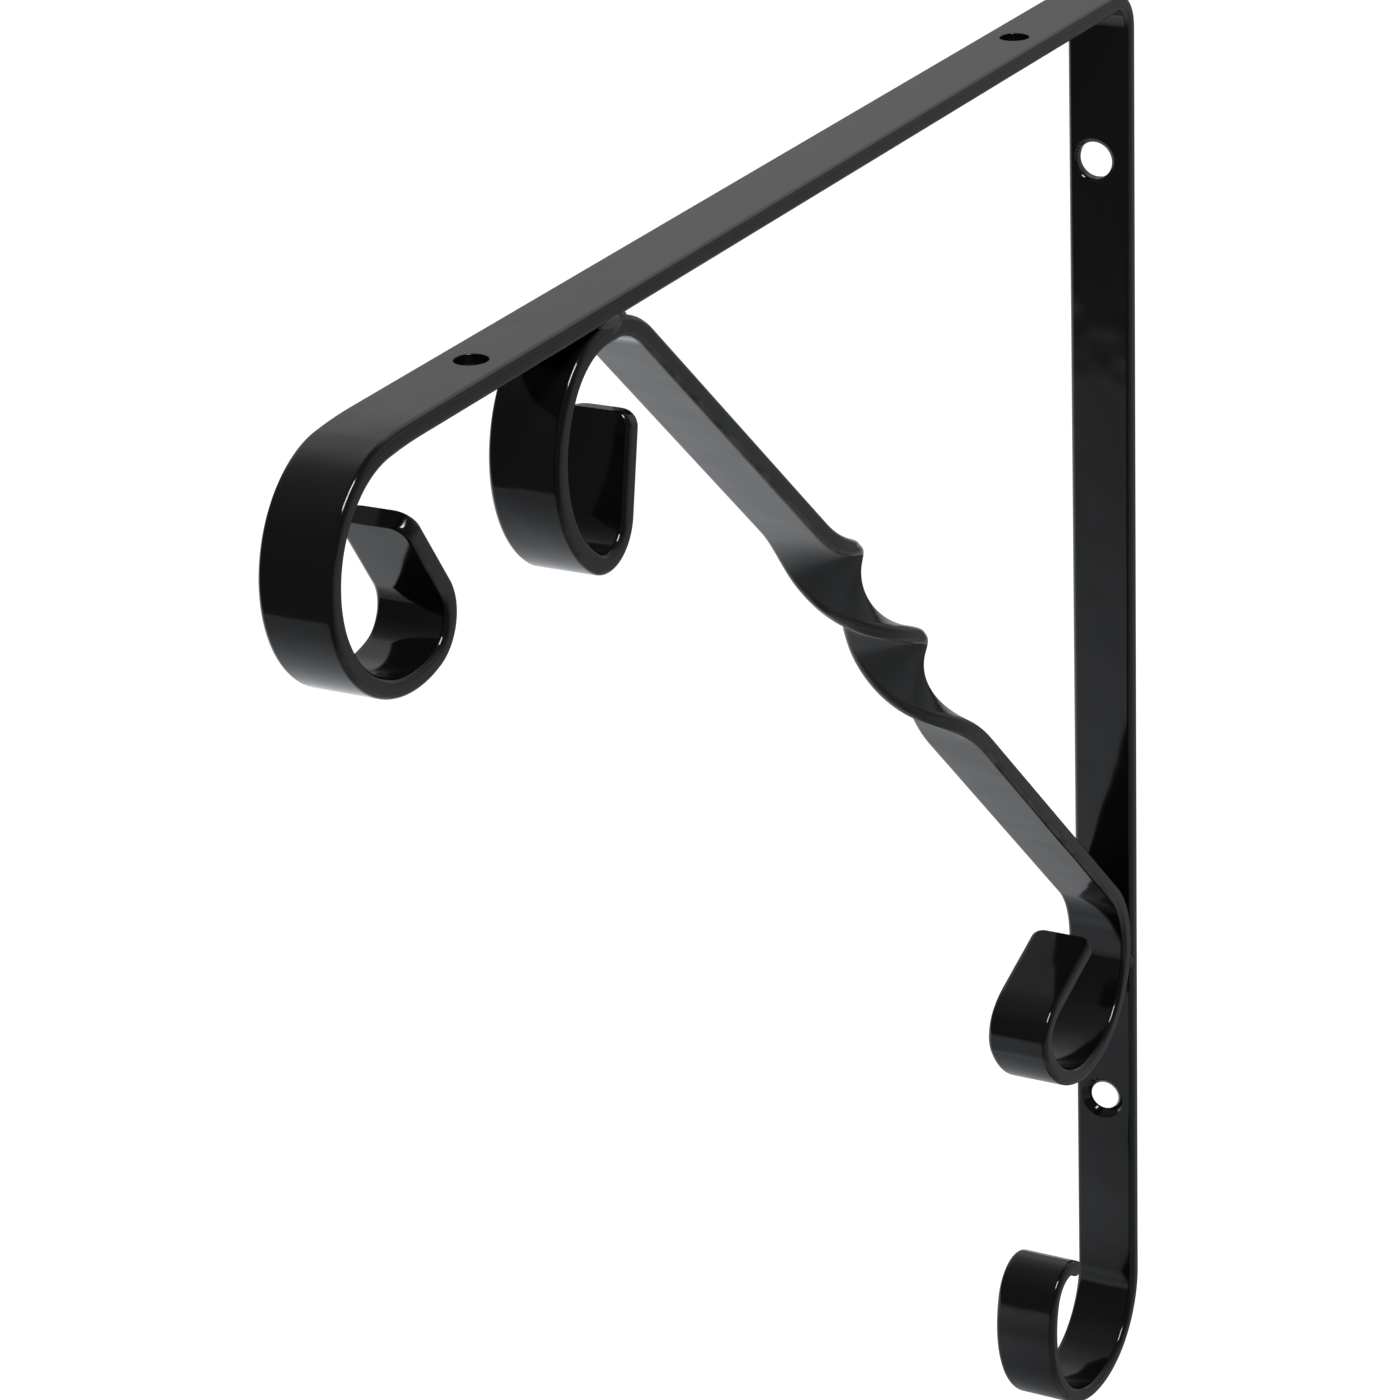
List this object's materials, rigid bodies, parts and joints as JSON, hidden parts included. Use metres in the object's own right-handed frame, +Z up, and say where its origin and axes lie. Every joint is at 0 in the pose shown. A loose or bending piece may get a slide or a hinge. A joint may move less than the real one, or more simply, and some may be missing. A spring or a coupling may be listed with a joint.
{
  "type": "shelf bracket",
  "caption": "Gloss black flat-bar shelf bracket: a right-angled strip with scrolled ends and a welded diagonal brace with a full twist and scrolled ends.",
  "frame": {"origin": "back face of the wall leg, on the middle of the strip's width, midway between the leg's two screw holes", "axes": "+Z up along the wall leg, -Y out from the wall along the shelf arm, +X across the width of the strips; the wall is the plane Y = 0"},
  "size_m": [0.0128, 0.2678, 0.2755],
  "materials": {
    "bent_strip_black": "gloss black paint over steel",
    "brace_black": "gloss black paint over steel",
    "weld_black": "gloss black paint over a weld bead"
  },
  "bodies": {
    "root": {"wall_and_shelf_strip": "bent_strip_black", "scrolled_brace": "brace_black", "upper_weld": "weld_black", "lower_weld": "weld_black"}
  },
  "joints": []
}
